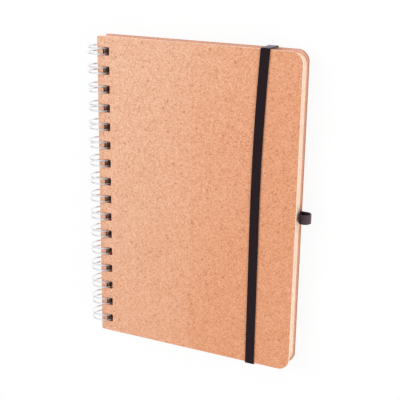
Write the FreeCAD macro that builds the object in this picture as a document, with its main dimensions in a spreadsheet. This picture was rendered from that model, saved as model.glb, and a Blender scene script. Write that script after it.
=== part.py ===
import FreeCAD, Part
import math
import os
import Sketcher

# A wire-bound notebook with cork covers, closed, lying flat on its back cover.
# X runs from the binding to the fore-edge, Y along the spine, Z up through the thickness.
# The origin is under the middle of the whole thing, on the surface that it lies on.
# "Book" coordinates below have x = 0 at the spine edge, and every piece is moved by ROW_X at the end.

V = FreeCAD.Vector

DIMENSIONS = [
    ("book_height", 210.0, "A5 covers, along the spine"),
    ("cover_width", 142.5, "from the spine edge to the fore-edge"),
    ("board_thick", 1.3, "stiff board of each cover"),
    ("cork_thick", 0.7, "cork sheet glued to the board"),
    ("cover_corner", 7.5, "round corners at the fore-edge"),
    ("spine_corner", 1.0, "nearly square corners at the spine"),
    ("page_stack", 9.0, "thickness of the pressed pages"),
    ("page_fore_inset", 1.0, "pages stop short of the covers' fore-edge"),
    ("page_end_inset", 2.0, "and short of their top and bottom"),
    ("page_spine_inset", 0.6, "and short of their spine edge"),
    ("page_corner", 7.0, "round corners of the pages"),
    ("hole_pitch", 12.7, "two holes to the inch"),
    ("hole_margin", 6.0, "least distance from a cover's end to the middle of its first hole"),
    ("hole_clear", 0.25, "a loop to the near and the far side of its hole"),
    ("prong_clear", 0.2, "a loop's two wires to the top and bottom of their hole"),
    ("wire_thick", 1.2, "diameter of the binding wire"),
    ("wire_sides", 6, "flats that stand for its round section"),
    ("ring_step", 18.0, "degrees that each straight piece of a loop stands for"),
    ("ring_outer", 19.05, "outside diameter of the closed loops, three quarters of an inch"),
    ("ring_x", -0.8, "centre of the loops from the spine edge"),
    ("prong_gap", 3.8, "between the two wires of one loop, centre to centre"),
    ("root_bend", 1.2, "bend from the link between two loops into a loop"),
    ("link_clear", 0.5, "links between the loops to the back cover"),
    ("tip_gap", 0.5, "free space between a loop's tip and the links"),
    ("band_width", 6.4, "elastic closure"),
    ("band_thick", 0.9, "thickness of the elastic"),
    ("band_lie", 0.1, "elastic to the cover that it lies on"),
    ("band_x", 115.2, "centre of the elastic over the lower half"),
    ("band_shift", 3.5, "how far the elastic has slid sideways at the top edge"),
    ("band_straight", 110.0, "length from the top edge over which it slid"),
    ("band_turn", 0.25, "inner radius where the elastic turns round an edge"),
    ("band_back", 11.0, "edge of the back cover to the slit of the elastic"),
    ("band_joint", 1.5, "edge of the back cover to where its stretching part begins"),
    ("slit_clear", 0.15, "slit to the elastic in it, all round"),
    ("strap_thick", 0.65, "thickness of the pen loop's elastic"),
    ("strap_width", 6.3, "width of the pen loop along the spine"),
    ("loop_bore", 3.5, "inner radius of the pen loop"),
    ("loop_clear", 0.1, "fore-edge to a pen in the loop"),
    ("loop_y", -0.6, "middle of the pen loop from the middle of the book"),
    ("loop_tail", 12.0, "how far its glued tails reach into the back cover"),
    ("tail_clear", 0.1, "recess in the board to the tails, at their sides and end"),
]

COVER = "(Sizes.board_thick + Sizes.cork_thick)"
MID_Z = "(Sizes.ring_outer / 2)"
BACK_OUT = f"({MID_Z} - Sizes.page_stack / 2 - {COVER})"
FRONT_OUT = f"({MID_Z} + Sizes.page_stack / 2 + {COVER})"
HALF_H = "(Sizes.book_height / 2)"
LOOP_X = "(Sizes.cover_width + Sizes.loop_clear + Sizes.loop_bore)"
RIGHT_REACH = f"({LOOP_X} + Sizes.loop_bore + Sizes.strap_thick)"
LEFT_REACH = f"(Sizes.ring_x - {MID_Z})"
ROW_X = f"-({RIGHT_REACH} + {LEFT_REACH}) / 2"
HALF_THICK = f"(Sizes.page_stack / 2 + {COVER})"
HOLE_COUNT = "(floor((Sizes.book_height - 2 * Sizes.hole_margin) / Sizes.hole_pitch) + 1)"
FIRST_HOLE = f"(-({HOLE_COUNT} - 1) / 2 * Sizes.hole_pitch)"
HOLE_TALL = "(Sizes.prong_gap + Sizes.wire_thick + 2 * Sizes.prong_clear)"

# A loop crosses the covers' outer faces nearest to the spine, and its middle reaches furthest in.
RING_ENTRY = f"sqrt(({MID_Z} - Sizes.wire_thick) ^ 2 - {HALF_THICK} ^ 2)"
HOLE_NEAR = f"(Sizes.ring_x + {RING_ENTRY} - Sizes.hole_clear)"
HOLE_FAR = f"(Sizes.ring_x + {MID_Z} + Sizes.hole_clear)"

doc = FreeCAD.newDocument("notebook")
sheet = doc.addObject("Spreadsheet::Sheet", "Sizes")
for row, (name, value, meaning) in enumerate(DIMENSIONS, 1):
    sheet.set(f"A{row}", str(value))
    sheet.setAlias(f"A{row}", name)
    sheet.set(f"B{row}", meaning)
doc.recompute()


def size(name):
    """A driving dimension as a plain number."""
    return float(getattr(sheet, name))


def value_of(expression):
    """An expression of the sheet's sizes, worked out as a plain number."""
    return float(sheet.evalExpression(expression))


def new_body(name, level="0"):
    """An empty body that is moved from book coordinates to the row's, with its own z = 0 at a level."""
    body = doc.addObject("PartDesign::Body", name)
    body.Label = name
    body.setExpression("Placement.Base.x", ROW_X)
    body.setExpression("Placement.Base.z", level)
    return body


def new_sketch(body, name, plane="XY_Plane"):
    """An empty sketch on one of the body's own origin planes."""
    sketch = body.newObject("Sketcher::SketchObject", f"{body.Name}_{name}")
    support = next(f for f in body.Origin.OriginFeatures if f.Role == plane)
    sketch.AttachmentSupport = [(support, "")]
    sketch.MapMode = "FlatFace"
    return sketch


def bind(sketch, kind, parts, expression):
    """Adds one dimension to a sketch and ties it to the sheet."""
    index = sketch.addConstraint(Sketcher.Constraint(kind, *parts, value_of(expression)))
    sketch.setExpression(f"Constraints[{index}]", expression)


def rounded_rectangle(sketch, left, right, bottom, top, left_radius, right_radius):
    """A rectangle whose two left and two right corners each have a radius, all given as expressions."""
    x0, x1, y0, y1 = (value_of(e) for e in (left, right, bottom, top))
    a, b = value_of(left_radius), value_of(right_radius)
    corners = [
        (V(x0 + a, y0 + a), a, 180),
        (V(x1 - b, y0 + b), b, 270),
        (V(x1 - b, y1 - b), b, 0),
        (V(x0 + a, y1 - a), a, 90),
    ]
    first = sketch.GeometryCount
    for centre, radius, start in corners:
        circle = Part.Circle(centre, V(0, 0, 1), radius)
        sketch.addGeometry(Part.ArcOfCircle(circle, math.radians(start), math.radians(start + 90)), False)
    ends = [
        (V(x0 + a, y0), V(x1 - b, y0)),
        (V(x1, y0 + b), V(x1, y1 - b)),
        (V(x1 - b, y1), V(x0 + a, y1)),
        (V(x0, y1 - a), V(x0, y0 + a)),
    ]
    for start, end in ends:
        sketch.addGeometry(Part.LineSegment(start, end), False)
    for k in range(4):
        arc, line, next_arc = first + k, first + 4 + k, first + (k + 1) % 4
        sketch.addConstraint(Sketcher.Constraint("Tangent", arc, 2, line, 1))
        sketch.addConstraint(Sketcher.Constraint("Tangent", line, 2, next_arc, 1))
    low, fore, high, spine = range(first + 4, first + 8)
    for line, kind in ((low, "Horizontal"), (high, "Horizontal"), (fore, "Vertical"), (spine, "Vertical")):
        sketch.addConstraint(Sketcher.Constraint(kind, line))
    sketch.addConstraint(Sketcher.Constraint("Equal", first, first + 3))
    sketch.addConstraint(Sketcher.Constraint("Equal", first + 1, first + 2))
    bind(sketch, "Radius", (first,), left_radius)
    bind(sketch, "Radius", (first + 1,), right_radius)
    bind(sketch, "DistanceX", (-1, 1, spine, 1), left)
    bind(sketch, "DistanceX", (-1, 1, fore, 1), right)
    bind(sketch, "DistanceY", (-1, 1, low, 1), bottom)
    bind(sketch, "DistanceY", (-1, 1, high, 1), top)


def rectangle(sketch, left, right, bottom, top):
    """A rectangle with square corners, its four sides given as expressions."""
    x0, x1, y0, y1 = (value_of(e) for e in (left, right, bottom, top))
    corners = [V(x0, y0), V(x1, y0), V(x1, y1), V(x0, y1)]
    low, fore, high, spine = (
        sketch.addGeometry(Part.LineSegment(corners[k], corners[(k + 1) % 4]), False)
        for k in range(4)
    )
    for line, following in ((low, fore), (fore, high), (high, spine), (spine, low)):
        sketch.addConstraint(Sketcher.Constraint("Coincident", line, 2, following, 1))
    for line, kind in ((low, "Horizontal"), (high, "Horizontal"), (fore, "Vertical"), (spine, "Vertical")):
        sketch.addConstraint(Sketcher.Constraint(kind, line))
    bind(sketch, "DistanceX", (-1, 1, spine, 1), left)
    bind(sketch, "DistanceX", (-1, 1, fore, 1), right)
    bind(sketch, "DistanceY", (-1, 1, low, 1), bottom)
    bind(sketch, "DistanceY", (-1, 1, high, 1), top)


def pad(body, sketch, length, both_ways=False):
    """Raises a sketch by a length, upwards or half to each side."""
    feature = body.newObject("PartDesign::Pad", f"{sketch.Name}_pad")
    feature.Profile = sketch
    feature.setExpression("Length", length)
    feature.Midplane = both_ways
    sketch.Visibility = False
    doc.recompute()
    return feature


def pocket_through(body, sketch):
    """Cuts a sketch right through the body, both ways from its plane."""
    before = body.Shape.Volume
    feature = body.newObject("PartDesign::Pocket", f"{sketch.Name}_cut")
    feature.Profile = sketch
    feature.Type = "ThroughAll"
    feature.Midplane = True
    doc.recompute()
    assert body.Shape.Volume < before - 0.1, f"{feature.Name} cuts nothing"
    return feature


def punch_holes(body):
    """The row of square holes along the spine."""
    sketch = new_sketch(body, "punch")
    rectangle(
        sketch,
        HOLE_NEAR,
        HOLE_FAR,
        f"{FIRST_HOLE} - {HOLE_TALL} / 2",
        f"{FIRST_HOLE} + {HOLE_TALL} / 2",
    )
    cut = pocket_through(body, sketch)
    row_of_holes = body.newObject("PartDesign::LinearPattern", f"{body.Name}_holes")
    row_of_holes.Originals = [cut]
    row_of_holes.Direction = (sketch, ["V_Axis"])
    row_of_holes.setExpression("Length", f"({HOLE_COUNT} - 1) * Sizes.hole_pitch")
    row_of_holes.setExpression("Occurrences", HOLE_COUNT)
    body.Tip = row_of_holes
    doc.recompute()


def cover_sheet(name, level, thickness):
    """One layer of a cover: a sheet with round fore-edge corners and the row of holes."""
    body = new_body(name, level)
    sketch = new_sketch(body, "outline")
    rounded_rectangle(
        sketch,
        "0",
        "Sizes.cover_width",
        f"-{HALF_H}",
        HALF_H,
        "Sizes.spine_corner",
        "Sizes.cover_corner",
    )
    pad(body, sketch, thickness)
    punch_holes(body)
    return body


def elastic_slit(body, name, middle_x, side):
    """A slit through a layer of the back cover for one end of the elastic, side +1 at the top."""
    sketch = new_sketch(body, name)
    near = f"({HALF_H} - Sizes.band_back)"
    far = f"({near} - Sizes.band_thick)"
    low, high = (far, near) if side > 0 else (f"-{near}", f"-{far}")
    rectangle(
        sketch,
        f"{middle_x} - Sizes.band_width / 2 - Sizes.slit_clear",
        f"{middle_x} + Sizes.band_width / 2 + Sizes.slit_clear",
        f"{low} - Sizes.slit_clear",
        f"{high} + Sizes.slit_clear",
    )
    pocket_through(body, sketch)


TOP_X = "(Sizes.band_x + Sizes.band_shift)"
LOW_X = "Sizes.band_x"

# Front cover: the board lies on the pages, the cork on the board.
cover_sheet("front_cover_board", f"{FRONT_OUT} - {COVER}", "Sizes.board_thick")
cover_sheet("front_cover_cork", f"{FRONT_OUT} - Sizes.cork_thick", "Sizes.cork_thick")

# Back cover: the same two layers the other way up, with two slits for the elastic.
back_cork = cover_sheet("back_cover_cork", BACK_OUT, "Sizes.cork_thick")
elastic_slit(back_cork, "top_slit", TOP_X, 1)
elastic_slit(back_cork, "low_slit", LOW_X, -1)
back_board = cover_sheet("back_cover_board", f"{BACK_OUT} + Sizes.cork_thick", "Sizes.board_thick")
elastic_slit(back_board, "top_slit", TOP_X, 1)
elastic_slit(back_board, "low_slit", LOW_X, -1)

# The board is cut away at the fore-edge for the tails of the pen loop.
tail_cut = new_sketch(back_board, "tail_recess")
rectangle(
    tail_cut,
    "Sizes.cover_width - Sizes.loop_tail - Sizes.tail_clear",
    "Sizes.cover_width + Sizes.tail_clear",
    "Sizes.loop_y - Sizes.strap_width / 2 - Sizes.tail_clear",
    "Sizes.loop_y + Sizes.strap_width / 2 + Sizes.tail_clear",
)
pocket_through(back_board, tail_cut)

# Pages: one pressed block, a little smaller than the covers all round.
pages = new_body("page_block", f"{MID_Z} - Sizes.page_stack / 2")
page_outline = new_sketch(pages, "outline")
rounded_rectangle(
    page_outline,
    "Sizes.page_spine_inset",
    "Sizes.cover_width - Sizes.page_fore_inset",
    f"-({HALF_H} - Sizes.page_end_inset)",
    f"{HALF_H} - Sizes.page_end_inset",
    "Sizes.spine_corner",
    "Sizes.page_corner",
)
pad(pages, page_outline, "Sizes.page_stack")
punch_holes(pages)


def wire_unit_points():
    """The middle line of one loop, from halfway along the link before it to halfway along the next.

    Seen along the spine the loop is a polygon whose sides touch the round one, so its lowest side
    lies flat. Out of the link it turns a quarter round, and at its tip half round, by eighths.
    """
    mean = (size("ring_outer") - size("wire_thick")) / 2
    half_gap = size("prong_gap") / 2
    bend = size("root_bend")
    eighth = math.tan(math.pi / 8)
    centre = V(size("ring_x"), 0, value_of(MID_Z))
    along = V(0, 1, 0)

    # The root's angle puts the link at its clearance under the back cover.
    link_depth = value_of(f"{HALF_THICK} + Sizes.link_clear + Sizes.wire_thick / 2")
    start = math.atan2(bend, mean) - math.asin(link_depth / math.hypot(mean, bend))
    start = math.degrees(start)

    # The tip stops short of the links by the wire's thickness and the free space.
    tip_reach = half_gap + size("wire_thick") + size("tip_gap")
    end = start + 360 - math.degrees((bend + tip_reach) / mean)

    def outward(angle):
        return V(math.cos(math.radians(angle)), 0, math.sin(math.radians(angle)))

    def forward(angle):
        return V(-math.sin(math.radians(angle)), 0, math.cos(math.radians(angle)))

    root = centre + outward(start) * mean - along * half_gap
    points = [
        root - forward(start) * bend - along * (size("hole_pitch") / 2 - half_gap),
        root - forward(start) * bend - along * (bend - bend * eighth),
        root - forward(start) * (bend * eighth),
    ]

    # Sides touch the ring at its start, at each whole step above that, and at its end.
    step = size("ring_step")
    steps = range(math.ceil(start / step + 0.5), math.floor(end / step) + 1)
    touches = [start, *(k * step for k in steps), end]
    for one, following in zip(touches, touches[1:]):
        reach = mean / math.cos(math.radians(following - one) / 2)
        points.append(centre + outward((one + following) / 2) * reach - along * half_gap)

    tip = centre + outward(end) * mean
    points.append(tip + forward(end) * (half_gap * eighth) - along * half_gap)
    points.append(tip + forward(end) * half_gap - along * (half_gap * eighth))
    other_half = [V(point.x, -point.y, point.z) for point in reversed(points)]
    return points + other_half, outward(start), forward(start)


def binding_wire():
    """One length of wire bent into a row of double loops, each closed round the spine.

    A loop is two parallel rings about the hinge line, joined by a tip, and a straight link leads to
    the next loop. Links and tips lie behind the book. The section is a polygon about the round one,
    swept along one loop with mitred corners, and the loops are then joined into one wire.
    """
    points, outward, forward = wire_unit_points()
    sides = int(size("wire_sides"))
    corner = size("wire_thick") / 2 / math.cos(math.pi / sides)
    turns = [(k + 0.5) * 2 * math.pi / sides for k in range(sides + 1)]
    section = Part.makePolygon([
        points[0] + outward * (corner * math.cos(turn)) + forward * (corner * math.sin(turn))
        for turn in turns
    ])
    mitred = 1
    loop = Part.makePolygon(points).makePipeShell([section], True, False, mitred)
    loops = []
    for k in range(int(value_of(HOLE_COUNT))):
        turned = loop.copy()
        turned.translate(V(0, value_of(FIRST_HOLE) + k * size("hole_pitch"), 0))
        loops.append(turned)
    return loops[0].multiFuse(loops[1:]).removeSplitter()


wire_node = doc.addObject("Part::Feature", "binding_wire")
wire_node.Label = "binding_wire"
wire_node.Shape = binding_wire()
wire_node.Placement = FreeCAD.Placement(V(value_of(ROW_X), 0, 0), FreeCAD.Rotation())

# Elastic closure: a strip that goes round the closed book, cut away behind between its two ends,
# and kept inside a ribbon seen from the front, which bends aside near the top.
LIE_TOP = f"({FRONT_OUT} + Sizes.band_lie)"
LIE_LOW = f"({BACK_OUT} - Sizes.band_lie)"
LIE_END = f"({HALF_H} + Sizes.band_lie)"

band_round = new_body("band_round")
round_sketch = new_sketch(band_round, "section", "YZ_Plane")
for grow, radius in (("Sizes.band_thick", "Sizes.band_turn + Sizes.band_thick"), ("0", "Sizes.band_turn")):
    rounded_rectangle(
        round_sketch,
        f"-({LIE_END} + {grow})",
        f"{LIE_END} + {grow}",
        f"{LIE_LOW} - {grow}",
        f"{LIE_TOP} + {grow}",
        radius,
        radius,
    )
pad(band_round, round_sketch, "Sizes.cover_width")
BAND_END = f"({HALF_H} - Sizes.band_joint)"
back_cut = new_sketch(band_round, "behind", "YZ_Plane")
rectangle(
    back_cut,
    f"-{BAND_END}",
    BAND_END,
    f"{LIE_LOW} - Sizes.band_thick * 2",
    f"{BACK_OUT} + {COVER}",
)
pocket_through(band_round, back_cut)

# The ribbon's plan reaches past the strip at both ends. Its two sides are straight lines that
# bend into arcs of one very large circle, so that it leans over gently.
BAND_PAST = f"({LIE_END} + 2 * Sizes.band_thick)"
BEND_FROM = f"({HALF_H} - Sizes.band_straight)"
SHIFT_RADIUS = "((Sizes.band_straight ^ 2 + Sizes.band_shift ^ 2) / (2 * Sizes.band_shift))"

band_ribbon = new_body("band_ribbon")
ribbon_sketch = new_sketch(band_ribbon, "plan")


def ribbon_line(start, end):
    """Adds a straight line to the ribbon's plan."""
    return ribbon_sketch.addGeometry(Part.LineSegment(start, end), False)


def ribbon_side(edge):
    """A straight line up to the bend and an arc beyond it, for the edge at -1 or +1 of the ribbon."""
    offset = edge * size("band_width") / 2
    radius = value_of(SHIFT_RADIUS) - offset
    x = size("band_x") + offset
    foot, bend = -value_of(BAND_PAST), value_of(BEND_FROM)
    rise = math.asin((-foot - bend) / radius)
    line = ribbon_line(V(x, foot), V(x, bend))
    circle = Part.Circle(V(x + radius, bend), V(0, 0, 1), radius)
    arc = ribbon_sketch.addGeometry(Part.ArcOfCircle(circle, math.pi - rise, math.pi), False)
    ribbon_sketch.addConstraint(Sketcher.Constraint("Vertical", line))
    ribbon_sketch.addConstraint(Sketcher.Constraint("Tangent", arc, 2, line, 2))
    bind(ribbon_sketch, "DistanceX", (-1, 1, line, 1), f"Sizes.band_x + {edge} * Sizes.band_width / 2")
    return line, arc


left_line, left_arc = ribbon_side(-1)
right_line, right_arc = ribbon_side(1)
foot = ribbon_line(ribbon_sketch.getPoint(left_line, 1), ribbon_sketch.getPoint(right_line, 1))
head = ribbon_line(ribbon_sketch.getPoint(left_arc, 1), ribbon_sketch.getPoint(right_arc, 1))
for one, one_end, other, other_end in (
    (foot, 1, left_line, 1),
    (foot, 2, right_line, 1),
    (head, 1, left_arc, 1),
    (head, 2, right_arc, 1),
    (left_arc, 3, right_arc, 3),
):
    ribbon_sketch.addConstraint(Sketcher.Constraint("Coincident", one, one_end, other, other_end))
ribbon_sketch.addConstraint(Sketcher.Constraint("Horizontal", foot))
ribbon_sketch.addConstraint(Sketcher.Constraint("Horizontal", head))
bind(ribbon_sketch, "DistanceY", (-1, 1, foot, 1), f"-{BAND_PAST}")
bind(ribbon_sketch, "DistanceY", (-1, 1, head, 1), BAND_PAST)
bind(ribbon_sketch, "DistanceY", (-1, 1, left_line, 2), BEND_FROM)
bind(ribbon_sketch, "Radius", (left_arc,), f"{SHIFT_RADIUS} + Sizes.band_width / 2")
pad(band_ribbon, ribbon_sketch, f"{LIE_TOP} + 2 * Sizes.band_thick")

elastic_band = doc.addObject("Part::MultiCommon", "elastic_band")
elastic_band.Label = "elastic_band"
elastic_band.Shapes = [band_round, band_ribbon]


def elastic_end(name, middle_x, side):
    """The end of the elastic: it lies behind the back cover and turns up into its slit."""
    body = new_body(name)
    sketch = new_sketch(body, "section", "YZ_Plane")
    slit = f"({HALF_H} - Sizes.band_back)"
    points = [
        (BAND_END, f"{LIE_LOW} - Sizes.band_thick"),
        (BAND_END, LIE_LOW),
        (slit, LIE_LOW),
        (slit, f"{BACK_OUT} + {COVER}"),
        (f"({slit} - Sizes.band_thick)", f"{BACK_OUT} + {COVER}"),
        (f"({slit} - Sizes.band_thick)", f"{LIE_LOW}"),
        (slit, f"{LIE_LOW} - Sizes.band_thick"),
    ]
    spots = [V(side * value_of(y), value_of(z)) for y, z in points]
    lines = []
    for k in (0, 1, 2, 3, 4, 6):
        segment = Part.LineSegment(spots[k], spots[(k + 1) % 7])
        lines.append(sketch.addGeometry(segment, False))
    circle = Part.Circle(spots[2], V(0, 0, 1), size("band_thick"))
    quarter = (180, 270) if side > 0 else (270, 360)
    curve = Part.ArcOfCircle(circle, *(math.radians(angle) for angle in quarter))
    turn = sketch.addGeometry(curve, False)
    for k in range(4):
        sketch.addConstraint(Sketcher.Constraint("Coincident", lines[k], 2, lines[k + 1], 1))
    sketch.addConstraint(Sketcher.Constraint("Coincident", lines[5], 2, lines[0], 1))
    arc_start, arc_end = (1, 2) if side > 0 else (2, 1)
    sketch.addConstraint(Sketcher.Constraint("Tangent", lines[4], 2, turn, arc_start))
    sketch.addConstraint(Sketcher.Constraint("Tangent", turn, arc_end, lines[5], 1))
    for k, line in enumerate(lines):
        sketch.addConstraint(Sketcher.Constraint("Horizontal" if k % 2 else "Vertical", line))
    sign = "" if side > 0 else "-"
    bind(sketch, "DistanceX", (-1, 1, lines[0], 1), f"{sign}{BAND_END}")
    bind(sketch, "DistanceX", (-1, 1, lines[2], 1), f"{sign}{slit}")
    bind(sketch, "DistanceX", (-1, 1, lines[4], 1), f"{sign}({slit} - Sizes.band_thick)")
    bind(sketch, "DistanceY", (-1, 1, lines[0], 1), f"{LIE_LOW} - Sizes.band_thick")
    bind(sketch, "DistanceY", (-1, 1, lines[1], 1), LIE_LOW)
    bind(sketch, "DistanceY", (-1, 1, lines[3], 1), f"{BACK_OUT} + {COVER}")
    bind(sketch, "Radius", (turn,), "Sizes.band_thick")
    pad(body, sketch, "Sizes.band_width", both_ways=True)
    body.setExpression("Placement.Base.x", f"{ROW_X} + {middle_x}")
    doc.recompute()


elastic_end("elastic_end_top", TOP_X, 1)
elastic_end("elastic_end_bottom", LOW_X, -1)

# Pen loop: one elastic strap bent round into a tube, its two tails side by side in the back cover.
pen_loop = new_body("pen_loop")
loop_sketch = new_sketch(pen_loop, "section", "XZ_Plane")
OUTER = "(Sizes.loop_bore + Sizes.strap_thick)"
TAIL_LOW = f"({BACK_OUT} + Sizes.cork_thick)"
TAIL_HIGH = f"({TAIL_LOW} + 2 * Sizes.strap_thick)"
LOOP_Z = f"({TAIL_LOW} + {OUTER})"
loop_x, loop_z, outer = value_of(LOOP_X), value_of(LOOP_Z), value_of(OUTER)
tail_low, tail_high = value_of(TAIL_LOW), value_of(TAIL_HIGH)
tail_x = size("cover_width") - size("loop_tail")
joint_angle = math.pi + math.asin((loop_z - tail_high) / outer)
joint_x = loop_x + outer * math.cos(joint_angle)
loop_centre = V(loop_x, loop_z)
outside = Part.ArcOfCircle(Part.Circle(loop_centre, V(0, 0, 1), outer), -math.pi / 2, joint_angle)
round_part = loop_sketch.addGeometry(outside, False)
bore = loop_sketch.addGeometry(Part.Circle(loop_centre, V(0, 0, 1), size("loop_bore")), False)
upper = loop_sketch.addGeometry(Part.LineSegment(V(joint_x, tail_high), V(tail_x, tail_high)), False)
tail_end = loop_sketch.addGeometry(Part.LineSegment(V(tail_x, tail_high), V(tail_x, tail_low)), False)
lower = loop_sketch.addGeometry(Part.LineSegment(V(tail_x, tail_low), V(loop_x, tail_low)), False)
loop_sketch.addConstraint(Sketcher.Constraint("Coincident", round_part, 2, upper, 1))
loop_sketch.addConstraint(Sketcher.Constraint("Coincident", upper, 2, tail_end, 1))
loop_sketch.addConstraint(Sketcher.Constraint("Coincident", tail_end, 2, lower, 1))
loop_sketch.addConstraint(Sketcher.Constraint("Tangent", lower, 2, round_part, 1))
loop_sketch.addConstraint(Sketcher.Constraint("Coincident", bore, 3, round_part, 3))
loop_sketch.addConstraint(Sketcher.Constraint("Horizontal", upper))
loop_sketch.addConstraint(Sketcher.Constraint("Vertical", tail_end))
loop_sketch.addConstraint(Sketcher.Constraint("Horizontal", lower))
bind(loop_sketch, "Radius", (round_part,), OUTER)
bind(loop_sketch, "Radius", (bore,), "Sizes.loop_bore")
bind(loop_sketch, "DistanceX", (-1, 1, round_part, 3), LOOP_X)
bind(loop_sketch, "DistanceY", (-1, 1, lower, 1), TAIL_LOW)
bind(loop_sketch, "DistanceY", (-1, 1, upper, 2), TAIL_HIGH)
bind(loop_sketch, "DistanceX", (-1, 1, tail_end, 1), "Sizes.cover_width - Sizes.loop_tail")
pad(pen_loop, loop_sketch, "Sizes.strap_width", both_ways=True)
pen_loop.setExpression("Placement.Base.y", "Sizes.loop_y")
doc.recompute()

NODES = [
    "front_cover_cork",
    "front_cover_board",
    "page_block",
    "back_cover_board",
    "back_cover_cork",
    "binding_wire",
    "elastic_band",
    "elastic_end_top",
    "elastic_end_bottom",
    "pen_loop",
]

for obj in doc.Objects:
    bad = [state for state in obj.State if state in ("Invalid", "Error")]
    assert not bad, f"{obj.Name} is {bad}"

os.makedirs("parts", exist_ok=True)
for name in NODES:
    shape = doc.getObject(name).Shape
    assert not shape.isNull() and shape.isValid(), f"{name} has no valid shape"
    box = shape.optimalBoundingBox(False, False)
    print(
        f"{name}: {len(shape.Solids)} solid, {len(shape.Faces)} faces, {shape.Volume:.1f} mm3,"
        f" x {box.XMin:.2f} to {box.XMax:.2f}, y {box.YMin:.2f} to {box.YMax:.2f},"
        f" z {box.ZMin:.2f} to {box.ZMax:.2f}"
    )
    shape.exportStep(f"parts/{name}.step")
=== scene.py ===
# %% [markdown]
# # A cork notebook with a wire binding
# The object is a closed A5 notebook. It has two cork covers on stiff board, a block of ivory pages,
# a silver double-loop wire, a black elastic that keeps it shut, and a black elastic loop for a pen.
# The frame gives every piece its place and size. This lesson makes the surfaces that the eye sees.

# %% The fixed frame
import math
import bpy
import numpy as np
from mathutils import Matrix, Vector


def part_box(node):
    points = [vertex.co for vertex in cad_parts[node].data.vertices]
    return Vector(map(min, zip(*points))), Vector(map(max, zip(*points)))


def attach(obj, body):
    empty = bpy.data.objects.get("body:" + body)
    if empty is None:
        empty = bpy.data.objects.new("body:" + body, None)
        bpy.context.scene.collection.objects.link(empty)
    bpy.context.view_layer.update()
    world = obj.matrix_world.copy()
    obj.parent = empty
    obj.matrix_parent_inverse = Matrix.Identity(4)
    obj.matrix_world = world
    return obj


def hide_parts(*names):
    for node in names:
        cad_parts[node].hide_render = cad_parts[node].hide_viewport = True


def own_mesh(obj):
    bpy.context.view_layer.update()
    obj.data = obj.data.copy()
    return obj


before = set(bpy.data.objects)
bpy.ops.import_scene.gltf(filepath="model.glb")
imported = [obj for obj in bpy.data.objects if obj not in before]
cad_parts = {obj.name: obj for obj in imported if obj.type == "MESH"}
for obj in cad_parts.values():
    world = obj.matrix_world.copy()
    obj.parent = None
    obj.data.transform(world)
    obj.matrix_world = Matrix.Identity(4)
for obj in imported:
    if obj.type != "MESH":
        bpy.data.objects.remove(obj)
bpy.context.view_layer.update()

# %% [markdown]
# ## Sizes
# Every size below is read from the frame where it can be. The rest are the real sizes in
# millimetres, and MM turns them to metres. A box of a node gives its lowest and highest corner.

# %% Sizes of the covers and the pages
MM = 0.001


def low_high(node):
    """The lowest and the highest corner of a node at rest, as two arrays."""
    low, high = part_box(node)
    return np.array(low), np.array(high)


cover_low, cover_high = low_high("front_cover_cork")
back_low, back_high = low_high("back_cover_cork")
page_low, page_high = low_high("page_block")
front_inner = low_high("front_cover_board")[0][2]
back_inner = low_high("back_cover_board")[1][2]

SPINE_X = cover_low[0]
COVER_WIDTH = cover_high[0] - cover_low[0]
HALF_HEIGHT = cover_high[1]
FRONT_Z = cover_high[2]
BACK_Z = back_low[2]
half_thick = (FRONT_Z - BACK_Z) / 2
print(f"cover {COVER_WIDTH / MM:.1f} mm wide and {2 * HALF_HEIGHT / MM:.1f} mm high")
print(f"book {2 * half_thick / MM:.1f} mm thick")

# %% [markdown]
# The wire stands in rings round the spine. PRONG is half the distance between the two wires of one
# ring. A punched hole starts where the inside of a ring crosses a cover's outer face and ends at
# the ring's widest reach, each with a little room. It is as tall as the two wires and their room.

# %% Sizes of the wire and of the holes
WIRE_RADIUS = 0.6 * MM
PRONG = 1.9 * MM
wire_low, wire_high = low_high("binding_wire")
ring_outer = (wire_high[2] - wire_low[2]) / 2
ring_x = wire_low[0] + ring_outer
ring_z = wire_low[2] + ring_outer
ring_inner = ring_outer - 2 * WIRE_RADIUS

HOLE_PITCH = 12.7 * MM
HOLE_COUNT = 16
HOLE_CLEAR = 0.25 * MM
HOLE_END_CLEAR = 0.2 * MM
HOLE_TALL = 2 * (PRONG + WIRE_RADIUS + HOLE_END_CLEAR)
hole_near = ring_x + math.sqrt(ring_inner ** 2 - half_thick ** 2) - HOLE_CLEAR
hole_far = ring_x + ring_outer + HOLE_CLEAR
hole_y = (np.arange(HOLE_COUNT) - (HOLE_COUNT - 1) / 2) * HOLE_PITCH
from_spine = (hole_near - SPINE_X) / MM, (hole_far - SPINE_X) / MM
print(f"holes from {from_spine[0]:.2f} to {from_spine[1]:.2f} mm from the spine edge")

# %% [markdown]
# ## The camera
# The photograph looks down on the front cover from above its top right corner. Its place was
# worked out from the corners of the cover and the sixteen holes, so the picture can be laid over it.

# %% Camera
CAMERA_AT = Vector((0.25345, 0.18521, 0.53963))
CAMERA_LOOKS = Vector((-0.40701, -0.29949, -0.86293))
CAMERA_UP = Vector((-0.14193, 0.95398, -0.26414))
CAMERA_LENS = 83.47
CAMERA_SENSOR = 36.0
CAMERA_NEAR = 0.01

camera_data = bpy.data.cameras.new("camera")
camera_data.lens = CAMERA_LENS
camera_data.sensor_width = CAMERA_SENSOR
camera_data.clip_start = CAMERA_NEAR
camera = bpy.data.objects.new("camera", camera_data)
bpy.context.scene.collection.objects.link(camera)
camera_right = CAMERA_LOOKS.cross(CAMERA_UP).normalized()
camera_up = camera_right.cross(CAMERA_LOOKS).normalized()
turn = Matrix((camera_right, camera_up, -CAMERA_LOOKS)).transposed().to_4x4()
camera.matrix_world = Matrix.Translation(CAMERA_AT) @ turn
bpy.context.scene.camera = camera
print("camera", round(CAMERA_AT.length, 3), "m from the origin")

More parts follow.
